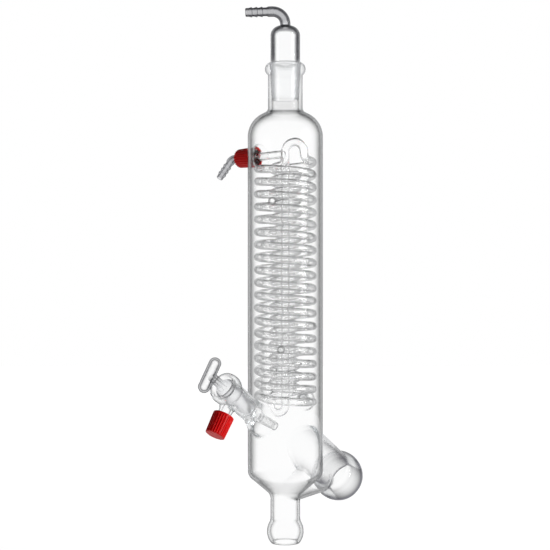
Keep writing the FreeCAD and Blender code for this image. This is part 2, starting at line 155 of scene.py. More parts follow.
def arc_points(first, middle, last, angle_step=6):
    """Points of the arc through three points in a plane."""
    a, b, c = Vector(first), Vector(middle), Vector(last)
    d = 2 * (a.x * (b.y - c.y) + b.x * (c.y - a.y) + c.x * (a.y - b.y))
    squares = [corner.length_squared for corner in (a, b, c)]
    x = squares[0] * (b.y - c.y) + squares[1] * (c.y - a.y) + squares[2] * (a.y - b.y)
    y = squares[0] * (c.x - b.x) + squares[1] * (a.x - c.x) + squares[2] * (b.x - a.x)
    centre = Vector((x / d, y / d))
    start = math.atan2(a.y - centre.y, a.x - centre.x)
    span = (math.atan2(c.y - centre.y, c.x - centre.x) - start) % math.tau
    passed = (math.atan2(b.y - centre.y, b.x - centre.x) - start) % math.tau
    if passed > span:
        span -= math.tau
    count = max(2, math.ceil(abs(span) / math.radians(angle_step)))
    radius = (a - centre).length
    angles = [start + span * k / count for k in range(count + 1)]
    return [centre + radius * Vector((math.cos(t), math.sin(t))) for t in angles]


def outline(*stretches):
    """Points of an outline in (radius, height), in the order given.

    A list holds corners, and a corner's third number rounds it off. A pair between two lists is
    the middle of the arc from the end of one to the start of the next.
    """
    points = []
    bulge = None
    for stretch in stretches:
        if isinstance(stretch, tuple):
            bulge = stretch
            continue
        if bulge is not None:
            points += arc_points(points[-1], bulge, stretch[0][:2])[1:-1]
            bulge = None
        for k, corner in enumerate(stretch):
            here = Vector(corner[:2])
            if len(corner) < 3 or corner[2] == 0:
                points.append(here)
                continue
            back = (Vector(stretch[k - 1][:2]) - here).normalized()
            ahead = (Vector(stretch[k + 1][:2]) - here).normalized()
            half = back.angle(ahead) / 2
            tangent = corner[2] / math.tan(half)
            middle = here + (back + ahead).normalized() * (corner[2] / math.sin(half) - corner[2])
            points += arc_points(here + back * tangent, middle, here + ahead * tangent)
    return points


def piece_from(name, verts, faces):
    mesh = bpy.data.meshes.new(name)
    mesh.from_pydata([tuple(Vector(v) * mm) for v in verts], [], faces)
    mesh.validate()
    piece = bpy.data.objects.new(name, mesh)
    bpy.context.scene.collection.objects.link(piece)
    return piece


def turned(name, points, base=(0, 0, 0), axis=up, sides=96, longest=12):
    """A solid turned about its axis, from an outline that starts and ends on the axis."""
    fine = [points[0]]
    for before, after in zip(points, points[1:]):
        parts = max(1, math.ceil(abs(after.y - before.y) / longest))
        fine += [before.lerp(after, k / parts) for k in range(1, parts + 1)]
    turn = up.rotation_difference(Vector(axis))
    verts = []
    rings = []
    for point in fine:
        if point.x < 1e-6:
            rings.append([len(verts)])
            verts.append(Vector(base) + turn @ Vector((0, 0, point.y)))
            continue
        rings.append(list(range(len(verts), len(verts) + sides)))
        for k in range(sides):
            a = math.tau * k / sides
            spot = Vector((point.x * math.cos(a), point.x * math.sin(a), point.y))
            verts.append(Vector(base) + turn @ spot)
    faces = []
    for low, high in zip(rings, rings[1:]):
        for k in range(sides):
            n = (k + 1) % sides
            if len(low) == 1 and len(high) > 1:
                faces.append((low[0], high[n], high[k]))
            elif len(high) == 1 and len(low) > 1:
                faces.append((low[k], low[n], high[0]))
            elif len(low) > 1:
                faces.append((low[k], low[n], high[n], high[k]))
    return piece_from(name, verts, faces)


def bar(diameter, start, end, base, axis, sides=64):
    corners = [(0, start), (diameter / 2, start), (diameter / 2, end), (0, end)]
    return turned("bar", outline(corners), base, axis, sides)


def mesh_now(piece):
    """The piece's mesh as its modifiers leave it."""
    graph = bpy.context.evaluated_depsgraph_get()
    return bpy.data.meshes.new_from_object(piece.evaluated_get(graph), depsgraph=graph)


def shaped(piece, operation, tools):
    """The piece with tools joined to it or cut from it, one after the other."""
    for tool in tools:
        step = piece.modifiers.new("shape", "BOOLEAN")
        step.operation = operation
        step.solver = "EXACT"
        step.object = tool
        mesh = mesh_now(piece)
        piece.modifiers.remove(step)
        piece.data = mesh
        bpy.data.objects.remove(tool)
    return piece


def smoothed(piece, angle=32):
    piece.data.polygons.foreach_set("use_smooth", [True] * len(piece.data.polygons))
    piece.data.set_sharp_from_angle(angle=math.radians(angle))
    return piece


def cone_height(radius):
    return cone_bottom + (radius - neck_r) / math.tan(math.radians(cone_half_angle))


def shoulder_line(radius):
    return shoulder_height + (jacket_r - radius) * math.tan(math.radians(shoulder_slope))


def barbed_corners(tube_r, start, end):
    """Corners of the outside of a barbed hose end, from start to end."""
    corners = [(tube_r, start)]
    for k in (3, 2, 1):
        station = end - barb_setback - (k - 1) * barb_pitch
        corners.append((tube_r, station - 1.2))
        corners.append((tube_r + barb_height, station - 0.6, 0.3))
        corners.append((tube_r, station + barb_pitch / 2))
    return corners + [(tube_r, end, 1.0)]


def fill(tree, node, inputs):
    """Gives each input of a node its value, or a link where the value is another node's output."""
    for key, value in inputs.items():
        if isinstance(value, bpy.types.NodeSocket):
            tree.links.new(value, node.inputs[key])
        else:
            node.inputs[key].default_value = value


def add_node(tree, kind, inputs):
    node = tree.nodes.new(kind)
    fill(tree, node, inputs)
    return node


def add_math(tree, operation, first, second):
    """The result of an operation on two values."""
    node = tree.nodes.new("ShaderNodeMath")
    node.operation = operation
    fill(tree, node, {0: first, 1: second})
    return node.outputs[0]


def group_tree(kind, name, inputs, outputs):
    """A node group: the tree, its given values, its result and the identifiers of its inputs."""
    tree = bpy.data.node_groups.new(name, kind)
    names = {}
    for label, value_kind, value in inputs:
        socket = tree.interface.new_socket(
            label, in_out="INPUT", socket_type="NodeSocket" + value_kind)
        if value is not None:
            socket.default_value = value
        names[label] = socket.identifier
    for label, value_kind in outputs:
        tree.interface.new_socket(label, in_out="OUTPUT", socket_type="NodeSocket" + value_kind)
    given = tree.nodes.new("NodeGroupInput").outputs
    return tree, given, tree.nodes.new("NodeGroupOutput"), names


def mesh_tree(name, source, inputs):
    """A geometry nodes tree that turns a source into a mesh of one material."""
    inputs = [(source, "Geometry", None)] + inputs + [("Material", "Material", None)]
    made = group_tree("GeometryNodeTree", name, inputs, [("Mesh", "Geometry")])
    made[0].is_modifier = True
    return made


def end_mesh(tree, given, result, geometry):
    """Ends a geometry nodes tree: all that it made becomes one mesh in the given material."""
    whole = add_node(tree, "GeometryNodeRealizeInstances", {"Geometry": geometry})
    finish = add_node(tree, "GeometryNodeSetMaterial", {
        "Geometry": whole.outputs["Geometry"], "Material": given["Material"]})
    fill(tree, result, {"Mesh": finish.outputs["Geometry"]})


def made_by_nodes(name, source, tree, values):
    """The mesh that a geometry nodes tree makes from source, as a piece of its own."""
    maker = source.modifiers.new("maker", "NODES")
    maker.node_group = tree
    for identifier, value in values.items():
        maker[identifier] = value
    mesh = mesh_now(source)
    bpy.data.objects.remove(source)
    piece = bpy.data.objects.new(name, mesh)
    bpy.context.scene.collection.objects.link(piece)
    return piece


def thread_tree():
    """A tree that draws a round ridge that winds up around Z as a right-hand thread."""
    tree, given, result, names = mesh_tree("Screw thread", "Body", [
        ("Turns", "Float", thread_turns),
        ("Core radius", "Float", thread_core_r * mm),
        ("Ridge radius", "Float", thread_ridge_r * mm),
        ("Height", "Float", thread_turns * thread_pitch * mm),
    ])
    spiral = add_node(tree, "GeometryNodeCurveSpiral", {
        "Resolution": 32,
        "Reverse": True,
        "Rotations": given["Turns"],
        "Start Radius": given["Core radius"],
        "End Radius": given["Core radius"],
        "Height": given["Height"],
    })
    ring = add_node(tree, "GeometryNodeCurvePrimitiveCircle", {
        "Resolution": 8, "Radius": given["Ridge radius"]})
    skin = add_node(tree, "GeometryNodeCurveToMesh", {
        "Fill Caps": True,
        "Curve": spiral.outputs["Curve"],
        "Profile Curve": ring.outputs["Curve"],
    })
    end_mesh(tree, given, result, skin.outputs["Mesh"])
    return tree, names


winding_tree, winding_inputs = thread_tree()


def set_along(piece, base, axis, start):
    """Stands a piece that was made on the origin along Z at a station of an axis."""
    turn = up.rotation_difference(Vector(axis)).to_matrix().to_4x4()
    piece.data.transform(Matrix.Translation((base + axis * start) * mm) @ turn)
    return piece


def thread_ridge(base, axis, end):
    """The ridge of a screw thread that runs out just short of the tube's end."""
    blank = bpy.data.objects.new("blank", bpy.data.meshes.new("blank"))
    bpy.context.scene.collection.objects.link(blank)
    ridge = made_by_nodes("thread", blank, winding_tree, {winding_inputs["Turns"]: thread_turns})
    ridge.data.materials.clear()
    return set_along(ridge, base, axis, end - thread_lead - thread_turns * thread_pitch)


jacket = turned("glass_jacket_piece", outline(
    [(0, 0), (math.sqrt(ball_r ** 2 - ball_height ** 2), 0)],
    (ball_r, ball_height),
    [(neck_flare_r, ball_height + math.sqrt(ball_r ** 2 - neck_flare_r ** 2)),
     (neck_r, neck_start, neck_fillet), (neck_r, cone_bottom, cone_fillet),
     (jacket_r, cone_height(jacket_r), cone_fillet),
     (jacket_r, shoulder_height, shoulder_fillet),
     (socket_r, shoulder_line(socket_r), socket_fillet), (socket_r, bead_start)],
    (bead_r, bead_middle),
    [(socket_r, mouth), (0, mouth)],
), sides=160)
flange = turned("flange", outline(
    [(0, tube_root), (flange_root_r, tube_root), (flange_neck_r, flange_neck)],
    (flange_crest_r, flange_crest),
    [(flange_lip_r, flange_end), (0, flange_end)],
), flange_base, flange_axis, 128)
web_base = Vector((0, 0, 50.8))
web_end = direction(side_plane_angle, 0.0) * 54.0 + up * 8.7
web_length = web_end.length
web = turned("web", outline(
    [(0, 0), (web_r, 0), (web_flared_r, web_length, web_fillet), (0, web_length)],
), web_base, web_end, 96)
web_inside = turned("web_inside", outline(
    [(0, 0), (web_inside_r, 0),
     (web_flared_inside_r, web_length - web_end_wall, web_fillet - jacket_wall),
     (0, web_length - web_end_wall)],
), web_base, web_end, 96)
barrel = turned("barrel", outline(
    [(0, barrel_root), (barrel_root_r, barrel_root), (barrel_root_r, 42.0),
     (barrel_r, 54.0, 12.0), (barrel_r, cup_neck)],
    (cup_crest_r, cup_crest),
    [(cup_lip_r, cup_end), (0, cup_end)],
), barrel_base, barrel_axis, 96)
arm = turned("arm", outline(
    [(0, 0), (arm_root_r, 0), (arm_root_r, 8.0), (thread_core_r, 17.0, 4.0),
     (thread_core_r, arm_end, thread_edge), (0, arm_end)]), arm_base, arm_axis, 64)
port = turned("port", outline(
    [(0, port_root), (port_root_r, port_root), (port_root_r, jacket_r + 1),
     (thread_core_r, 41.0, 4.0), (thread_core_r, port_end, thread_edge), (0, port_end)],
), port_base, port_axis, 64)
nozzle = turned("nozzle", outline(
    [(0, tube_root), (nozzle_root_r, tube_root), (nozzle_root_r, 31.3), (nozzle_r, 37.0, 4.0)]
    + barbed_corners(nozzle_r, 42.0, nozzle_end) + [(0, nozzle_end)]), nozzle_base, nozzle_axis, 64)
threads = [thread_ridge(arm_base, arm_axis, arm_end), thread_ridge(port_base, port_axis, port_end)]
jacket = shaped(jacket, "UNION", [flange, web, barrel, arm, port, nozzle] + threads)

cone_shift = jacket_wall / math.sin(math.radians(cone_half_angle))
shoulder_shift = jacket_wall / math.cos(math.radians(shoulder_slope))
ball_bore_r = ball_r - ball_wall
ball_reach = math.sqrt(ball_bore_r ** 2 - neck_bore_r ** 2)
inside = turned("inside", outline(
    [(0, -1), (neck_bore_r, -1), (neck_bore_r, ball_height - ball_reach)],
    (ball_bore_r, ball_height),
    [(neck_bore_r, ball_height + ball_reach),
     (neck_bore_r, cone_height(neck_bore_r) + cone_shift, cone_fillet),
     (bore_r, cone_height(bore_r) + cone_shift, cone_fillet - jacket_wall),
     (bore_r, shoulder_line(bore_r) - shoulder_shift, shoulder_fillet - jacket_wall),
     (joint_small_r, shoulder_line(joint_small_r) - shoulder_shift, socket_fillet),
     (joint_small_r + joint_gap, joint_bottom), (joint_large_r + joint_gap, joint_top),
     (mouth_bore_r, mouth), (mouth_bore_r, mouth + 1), (0, mouth + 1)],
), sides=160)
root_inside = turned("root_inside", outline(
    [(0, barrel_root), (barrel_root_bore_r, barrel_root),
     (barrel_root_bore_r, 39.8, jacket_wall), (9.0, 44.8, jacket_wall), (0, 44.8)],
), barrel_base, barrel_axis, 96)
jacket = shaped(jacket, "DIFFERENCE", [inside, web_inside, root_inside])

feed_start = barrel_base + barrel_axis * barrel_floor
feed_axis = direction(side_plane_angle, -feed_fall)
feed_length = math.hypot(feed_start.x, feed_start.y) - 14.7
feed_length /= math.cos(math.radians(feed_fall))
feed = bar(feed_d, 1.1, feed_length, feed_start, feed_axis, 48)
jacket = shaped(jacket, "UNION", [feed])
plug_foot = plug_top - plug_length
barrel_inside = turned("barrel_inside", outline(
    [(0, barrel_floor), (barrel_bore_r, barrel_floor, 3.0), (barrel_bore_r, plug_foot),
     (plug_small_r + joint_gap, plug_foot), (plug_large_r + joint_gap, plug_top),
     (cup_bore_r, plug_top), (cup_bore_r, cup_end + 1), (0, cup_end + 1)],
), barrel_base, barrel_axis, 96)
jacket = shaped(jacket, "DIFFERENCE", [
    bar(flange_bore_d, tube_root, flange_end + 1, flange_base, flange_axis, 128),
    barrel_inside,
    bar(arm_bore_d, 0, arm_end + 1, arm_base, arm_axis, 48),
    bar(feed_bore_d, -2.0, feed_length + 1, feed_start, feed_axis, 48),
    bar(coil_tube_d + seal_gap, tube_root, jacket_r + 4, port_base, port_axis, 48),
    bar(coil_bore_d, tube_root, port_end + 1, port_base, port_axis, 48),
    bar(coil_tube_d + seal_gap, tube_root, nozzle_seat, nozzle_base, nozzle_axis, 48),
    bar(coil_bore_d, tube_root, nozzle_end + 1, nozzle_base, nozzle_axis, 48),
])


def add_blend(tree, share, first, second):
    """A colour that goes from the first to the second with the share."""
    node = tree.nodes.new("ShaderNodeMix")
    node.data_type = "RGBA"
    fill(tree, node, {"Factor": share, 6: first, 7: second})
    return node.outputs[2]


def edge_shade_group():
    """Painted shade on glass: a colour that darkens where the glass is seen at a slant."""
    tree, given, result, _ = group_tree("ShaderNodeTree", "Edge shade", [
        ("Facing", "Float", 0.0),
        ("Face colour", "Color", (1, 1, 1, 1)),
        ("Edge shade colour", "Color", (0.3, 0.3, 0.3, 1)),
        ("Start", "Float", 0.3),
        ("End", "Float", 0.85),
    ], [("Colour", "Color")])
    ramp = add_node(tree, "ShaderNodeMapRange", {
        "Value": given["Facing"], "From Min": given["Start"], "From Max": given["End"]})
    ramp.interpolation_type = "SMOOTHSTEP"
    fill(tree, result, {"Colour": add_blend(
        tree, ramp.outputs["Result"], given["Face colour"], given["Edge shade colour"])})
    return tree


edge_shade = edge_shade_group()
zone_blur = 4.0


def zone_group():
    """1 within a zone along an axis, from a start station outwards and within a radius, else 0."""
    tree, given, result, _ = group_tree("ShaderNodeTree", "Axis zone", [
        ("Base", "Vector", None),
        ("Turn", "Vector", None),
        ("Radius", "Float", None),
        ("Start", "Float", None),
    ], [("Inside", "Float")])
    coords = tree.nodes.new("ShaderNodeTexCoord")
    local = tree.nodes.new("ShaderNodeMapping")
    local.vector_type = "TEXTURE"
    fill(tree, local, {
        "Vector": coords.outputs["Object"], "Location": given["Base"], "Rotation": given["Turn"]})
    split = add_node(tree, "ShaderNodeSeparateXYZ", {"Vector": local.outputs["Vector"]})
    flat = add_node(tree, "ShaderNodeCombineXYZ", {
        "X": split.outputs["X"], "Y": split.outputs["Y"]})
    reach = tree.nodes.new("ShaderNodeVectorMath")
    reach.operation = "LENGTH"
    fill(tree, reach, {0: flat.outputs["Vector"]})
    near = add_math(tree, "LESS_THAN", reach.outputs["Value"], given["Radius"])
    soft = add_node(tree, "ShaderNodeMapRange", {
        "Value": add_math(tree, "SUBTRACT", split.outputs["Z"], given["Start"]),
        "From Min": -zone_blur * mm,
        "From Max": zone_blur * mm,
    })
    soft.interpolation_type = "SMOOTHSTEP"
    fill(tree, result, {"Inside": add_math(tree, "MULTIPLY", near, soft.outputs["Result"])})
    return tree


axis_zone = zone_group()


def zoned(material, socket, base, axis, radius, start, outside, inside):
    """Drives a socket of the material from one value to another inside a zone.

    Where the socket is driven already, what drives it takes the place of the value outside.
    """
    tree = material.node_tree
    zone = tree.nodes.new("ShaderNodeGroup")
    zone.node_tree = axis_zone
    fill(tree, zone, {
        "Base": Vector(base) * mm,
        "Turn": up.rotation_difference(Vector(axis)).to_euler(),
        "Radius": radius * mm,
        "Start": start * mm,
    })
    share = zone.outputs["Inside"]
    if socket.is_linked:
        outside = socket.links[0].from_socket
    elif isinstance(outside, tuple):
        outside = (*outside, 1)
    if isinstance(inside, tuple):
        tree.links.new(add_blend(tree, share, outside, (*inside, 1)), socket)
    else:
        level = add_node(tree, "ShaderNodeMapRange", {
            "Value": share, "To Min": outside, "To Max": inside})
        tree.links.new(level.outputs["Result"], socket)


def grey(level):
    """A grey with a breath of blue, for the painted shade on glass."""
    return (level, level, level + 0.01)


white = (1.0, 1.0, 1.0)
glass_tint = (0.55, 0.6, 0.62)


def glass(name, tint, density, ior, edge, start=0.3, end=0.85, face=white, weld=0.0, roughness=0.0):
    """Clear glass. Density is how fast the light dims inside it, per metre, and weld the radius
    over which its seams are melted round, in mm."""
    material = bpy.data.materials.new(name)
    material.use_nodes = True
    tree = material.node_tree
    shader = tree.nodes["Principled BSDF"]
    facing = add_node(tree, "ShaderNodeLayerWeight", {"Blend": 0.5})
    if weld > 0:
        melted = add_node(tree, "ShaderNodeBevel", {"Radius": weld * mm})
        melted.samples = 6
        fill(tree, facing, {"Normal": melted.outputs["Normal"]})
        fill(tree, shader, {"Normal": melted.outputs["Normal"]})
    # Painted shade: the base colour goes from the face colour to the edge colour as the glass is seen
    # more at a slant.
    shade = tree.nodes.new("ShaderNodeGroup")
    shade.name = "Edge shade"
    shade.node_tree = edge_shade
    fill(tree, shade, {
        "Facing": facing.outputs["Facing"],
        "Face colour": (*face, 1),
        "Edge shade colour": (*edge, 1),
        "Start": start,
        "End": end,
    })
    fill(tree, shader, {
        "Base Color": shade.outputs["Colour"],
        "Roughness": roughness,
        "IOR": ior,
        "Transmission Weight": 1.0,
    })
    volume = add_node(tree, "ShaderNodeVolumeAbsorption", {"Color": (*tint, 1), "Density": density})
    fill(tree, tree.nodes["Material Output"], {"Volume": volume.outputs["Volume"]})
    return material


def dressed(piece, material, body, slot, *nodes):
    """Gives a finished piece its material and its place on a body, in place of CAD nodes."""
    piece.data.materials.clear()
    piece.data.materials.append(material)
    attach(piece, body)
    if nodes:
        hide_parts(*nodes)
    return piece


# Painted shade on the jacket: its edges are darkened where seen at a slant, set zone by zone. The shade
# is lighter at the socket, the web and the barrel's root, darker at the cup, and darkest and widest at
# the flange's bulb.
jacket_edge_shade = (0.045, 0.047, 0.05)
whole_r = 60.0
clear_glass = glass("clear glass", glass_tint, 10.0, ior=1.12, edge=jacket_edge_shade, weld=4.5)
jacket_shader = clear_glass.node_tree.nodes["Principled BSDF"]
jacket_shade = clear_glass.node_tree.nodes["Edge shade"].inputs
edge_shade_colour = jacket_shade["Edge shade colour"]
zoned(clear_glass, jacket_shader.inputs["Roughness"], barrel_base, barrel_axis, 16.0, 46.0, 0.0, 0.22)
zoned(clear_glass, edge_shade_colour, (0, 0, 0), up, whole_r, 425.0, jacket_edge_shade, grey(0.16))
zoned(clear_glass, edge_shade_colour, web_base, web_end, 24.0, 42.0, None, grey(0.7))
for station, level in ((40.0, 0.7), (84.0, 0.12)):
    zoned(clear_glass, edge_shade_colour, barrel_base, barrel_axis, 14.0, station, None, grey(level))
# Painted shade: a grey band on the socket tube, from 404 to 421 mm high.
for station, level in ((404.0, 0.9), (421.0, 1.0)):
    zoned(clear_glass, jacket_shade["Face colour"], (0, 0, 0), up, 17.5, station, white,
          (level, level, level))
flange_zone = (flange_base, flange_axis, 32.0)
for station, level in ((15.0, 0.5), (54.0, 0.1), (86.0, 0.03)):
    zoned(clear_glass, edge_shade_colour, *flange_zone, station, None, grey(level))
zoned(clear_glass, jacket_shade["Start"], *flange_zone, 86.0, 0.3, 0.12)
zoned(clear_glass, jacket_shade["End"], *flange_zone, 86.0, 0.85, 0.65)
dressed(smoothed(jacket), clear_glass, "glass", "clear_glass", "glass_jacket")


# The cooling coil is one long thin glass tube. From the upper port it goes down the middle, turns
# back up as the inner coil, goes over the arch and comes down as the outer coil to the lower
# nozzle. Two short studs fused to the outer coil keep it off the wall.
coil_pitch = 11.95
coil_turns = 19
coil_phase_height = 360.65
outer_coil_r = 26.0
inner_coil_r = 11.9
outer_start = -35.0
outer_end = 30.0 + 360 * coil_turns
inner_end = -120.5 + 360 * coil_turns
foot_angle = 180.0
foot_height = 123.0
arch_height = 378.5
coil_bend_r = 7.0
coil_exit_y = 30.27
stud_d = 7.0
stud_gap = 0.3
stud_fillet = 2.2


def rounded_path(points, radii, angle_step=10):
    """Points of straight runs with a tangent arc at each inner point."""
    path = [points[0]]
    for before, corner, after, radius in zip(points, points[1:], points[2:], radii):
        back = (before - corner).normalized()
        ahead = (after - corner).normalized()
        half = back.angle(ahead) / 2
        tangent = radius / math.tan(half)
        centre = corner + (back + ahead).normalized() * (radius / math.sin(half))
        first = corner + back * tangent - centre
        last = corner + ahead * tangent - centre
        count = max(2, math.ceil((math.pi - 2 * half) / math.radians(angle_step)))
        first.normalize()
        last.normalize()
        path += [centre + first.slerp(last, k / count) * radius for k in range(count + 1)]
    return path + [points[-1]]


def helix_point(radius, rise, angle, height):
    a = math.radians(angle)
    return Vector((radius * math.cos(a), radius * math.sin(a), height + rise * angle / 360))


def helix_tangent(radius, rise, angle):
    a = math.radians(angle)
    return Vector((-radius * math.sin(a), radius * math.cos(a), rise / math.tau)).normalized()


def helix(radius, rise, start, end, height, angle_step=6):
    count = math.ceil((end - start) / angle_step)
    angles = [start + (end - start) * k / count for k in range(count + 1)]
    return [helix_point(radius, rise, angle, height) for angle in angles]


def at_height(point, height):
    return Vector((point.x, point.y, height))


inner_start = foot_angle + math.degrees(math.atan2(coil_bend_r, inner_coil_r))
inner_height = coil_phase_height - coil_pitch * coil_turns
inner_first = helix_point(inner_coil_r, coil_pitch, inner_start, inner_height)
inner_last = helix_point(inner_coil_r, coil_pitch, inner_end, inner_height)
outer_first = helix_point(outer_coil_r, -coil_pitch, outer_start, coil_phase_height)
outer_last = helix_point(outer_coil_r, -coil_pitch, outer_end, coil_phase_height)
foot_leg = inner_first - helix_tangent(inner_coil_r, coil_pitch, inner_start) * coil_bend_r
inner_leg = inner_last + helix_tangent(inner_coil_r, coil_pitch, inner_end) * coil_bend_r
outer_leg = outer_first - helix_tangent(outer_coil_r, -coil_pitch, outer_start) * coil_bend_r
coil_exit = outer_last + helix_tangent(outer_coil_r, -coil_pitch, outer_end) * coil_bend_r
foot_r = math.hypot(foot_leg.x, foot_leg.y) / 2
arch_r = (at_height(inner_leg, 0) - at_height(outer_leg, 0)).length / 2
coil_path = rounded_path(
    [port_base + port_axis * (jacket_r + 4), port_base, Vector((0, 0, foot_height)),
     at_height(foot_leg, foot_height), foot_leg, inner_first],
    [coil_bend_r, foot_r, foot_r, coil_bend_r])
coil_path += helix(inner_coil_r, coil_pitch, inner_start, inner_end, inner_height)
coil_path += rounded_path(
    [inner_last, inner_leg, at_height(inner_leg, arch_height), at_height(outer_leg, arch_height),
     outer_leg, outer_first],
    [coil_bend_r, arch_r, arch_r, coil_bend_r])
coil_path += helix(outer_coil_r, -coil_pitch, outer_start, outer_end, coil_phase_height)
coil_path += rounded_path(
    [outer_last, coil_exit, Vector((coil_exit.x, coil_exit_y, coil_exit.z))], [coil_bend_r])


def path_curve(name, points):
    """A curve object of straight pieces through points, leaving out doubled ones."""
    kept = [points[0]]
    for point in points[1:]:
        if (point - kept[-1]).length > 0.2:
            kept.append(point)
    curve = bpy.data.curves.new(name, "CURVE")
    curve.dimensions = "3D"
    spline = curve.splines.new("POLY")
    spline.points.add(len(kept) - 1)
    for spot, point in zip(spline.points, kept):
        spot.co = (*(point * mm), 1)
    path = bpy.data.objects.new(name, curve)
    bpy.context.scene.collection.objects.link(path)
    return path


def drawn_tube_tree():
    """A tree that draws a hollow tube along a curve."""
    tree, given, result, names = mesh_tree("Drawn tube", "Path", [
        ("Outside diameter", "Float", 8 * mm),
        ("Inside diameter", "Float", 6 * mm),
        ("Ring spacing", "Float", 2 * mm),
        ("Sides", "Int", 18),
    ])
    spaced = tree.nodes.new("GeometryNodeResampleCurve")
    spaced.mode = "LENGTH"
    fill(tree, spaced, {"Curve": given["Path"], "Length": given["Ring spacing"]})
    both = tree.nodes.new("GeometryNodeJoinGeometry")
    for side in ("Outside diameter", "Inside diameter"):
        ring = add_node(tree, "GeometryNodeCurvePrimitiveCircle", {
            "Radius": add_math(tree, "MULTIPLY", given[side], 0.5), "Resolution": given["Sides"]})
        skin = add_node(tree, "GeometryNodeCurveToMesh", {
            "Curve": spaced.outputs["Curve"], "Profile Curve": ring.outputs["Curve"]})
        if side.startswith("Inside"):
            skin = add_node(tree, "GeometryNodeFlipFaces", {"Mesh": skin.outputs["Mesh"]})
        fill(tree, both, {"Geometry": skin.outputs["Mesh"]})
    end_mesh(tree, given, result, both.outputs["Geometry"])
    return tree, names


# Painted shade: the coil's glass is darkened where it is seen at a slant.
coil_edge_shade = (0.26, 0.265, 0.27)
coil_glass = glass("coil glass", glass_tint, 10.0, ior=1.5, edge=coil_edge_shade)
coil_tree = coil_glass.node_tree
coil_coords = coil_tree.nodes.new("ShaderNodeTexCoord")
waves = add_node(coil_tree, "ShaderNodeTexNoise", {
    "Scale": 120.0, "Detail": 1.0, "Vector": coil_coords.outputs["Object"]})
ripple = add_node(coil_tree, "ShaderNodeBump", {
    "Strength": 1.0, "Distance": 1.2 * mm, "Height": waves.outputs["Fac"]})
fill(coil_tree, coil_tree.nodes["Principled BSDF"], {"Normal": ripple.outputs["Normal"]})
tube_tree, tube_inputs = drawn_tube_tree()
coil = made_by_nodes("cooling_coil_piece", path_curve("coil path", coil_path), tube_tree, {
    tube_inputs["Outside diameter"]: coil_tube_d * mm,
    tube_inputs["Inside diameter"]: coil_bore_d * mm,
    tube_inputs["Ring spacing"]: 2.0 * mm,
    tube_inputs["Sides"]: 18,
    tube_inputs["Material"]: coil_glass,
})
between_ends = 0.25
ends = bmesh.new()
ends.from_mesh(coil.data)
open_edges = [edge for edge in ends.edges if edge.is_boundary]
upper = [edge for edge in open_edges if edge.verts[0].co.z > between_ends]
lower = [edge for edge in open_edges if edge.verts[0].co.z <= between_ends]
bmesh.ops.bridge_loops(ends, edges=upper)
bmesh.ops.bridge_loops(ends, edges=lower)
bmesh.ops.recalc_face_normals(ends, faces=ends.faces)
ends.to_mesh(coil.data)
ends.free()
coil_shade = coil_tree.nodes["Edge shade"].inputs
stud_start = coil_tube_d / 2 - 0.7
# Painted shade: round each stud the edge shade is made darker and wider, which paints a dark ring.
for azimuth, turns in ((-118.0, 3.5), (-99.0, 15.0)):
    strand = helix_point(outer_coil_r, -coil_pitch, azimuth, coil_phase_height - turns * coil_pitch)
    wall_y = math.sqrt(bore_r ** 2 - (abs(strand.x) + stud_d / 2) ** 2)
    stud_end = wall_y - abs(strand.y) - stud_gap
    stud = turned("stud", outline(
        [(0, stud_start), (stud_d / 2, stud_start), (stud_d / 2, stud_end, stud_fillet),
         (0, stud_end)]), strand, -nozzle_axis, 48)
    coil = shaped(coil, "UNION", [stud])
    for label, outside, inside in (("Edge shade colour", coil_edge_shade, (0.01, 0.01, 0.01)),
                                   ("Start", 0.3, 0.02), ("End", 0.85, 0.25)):
        zoned(coil_glass, coil_shade[label], strand, -nozzle_axis, stud_d / 2 + 0.5, 3.0, outside,
              inside)
dressed(smoothed(coil, 50), coil_glass, "glass", "coil_glass", "cooling_coil")


# The vacuum adapter has a ground cone that seats in the jacket's socket, a domed body and a
# bent tube with barbs for the vacuum hose. It is blown from one piece of glass.
adapter_wall = 1.5
adapter_body_r = 14.05
adapter_inside_r = 12.55
vacuum_tube_r = 4.9
vacuum_barb_r = 4.1
vacuum_bore_r = 3.5
vacuum_reach = 38.0
vacuum_bend_r = 12.0
dome_height = 487.5
dome_slope = 20.4
barbed_length = 20.0


def bent_piece(name, path, points, sides=64, longest=1.5):
    """A hollow piece turned along a path. Its closed outline is in (radius, station)."""
    fine = []
    for before, after in zip(points, points[1:] + points[:1]):
        parts = max(1, math.ceil((after - before).length / longest))
        fine += [before.lerp(after, k / parts) for k in range(parts)]
    lengths = [0.0]
    for before, after in zip(path, path[1:]):
        lengths.append(lengths[-1] + (after - before).length)
    side = (path[1] - path[0]).orthogonal().normalized()
    frames = [side]
    ahead = (path[1] - path[0]).normalized()
    for before, after in zip(path[1:], path[2:] + [path[-1] * 2 - path[-2]]):
        nextward = (after - before).normalized()
        side = ahead.rotation_difference(nextward) @ side
        ahead = nextward
        frames.append(side)
    verts = []
    for point in fine:
        station = min(max(point.y, 0.0), lengths[-1] - 1e-6)
        k = max(i for i, length in enumerate(lengths[:-1]) if length <= station)
        share = (point.y - lengths[k]) / (lengths[k + 1] - lengths[k])
        spot = path[k] + (path[k + 1] - path[k]) * share
        tangents = []
        for i in (k, k + 1):
            tangents.append((path[min(i + 1, len(path) - 1)] - path[max(i - 1, 0)]).normalized())
        ahead = tangents[0].lerp(tangents[1], min(max(share, 0), 1)).normalized()
        side = frames[k].lerp(frames[min(k + 1, len(frames) - 1)], min(max(share, 0), 1))
        side = (side - ahead * side.dot(ahead)).normalized()
        other = ahead.cross(side)
        for n in range(sides):
            a = math.tau * n / sides
            verts.append(spot + (side * math.cos(a) + other * math.sin(a)) * point.x)
    faces = []
    count = len(fine)
    for i in range(count):
        for n in range(sides):
            m = (n + 1) % sides
            j = (i + 1) % count
            faces.append((i * sides + n, i * sides + m, j * sides + m, j * sides + n))
    return piece_from(name, verts, faces)


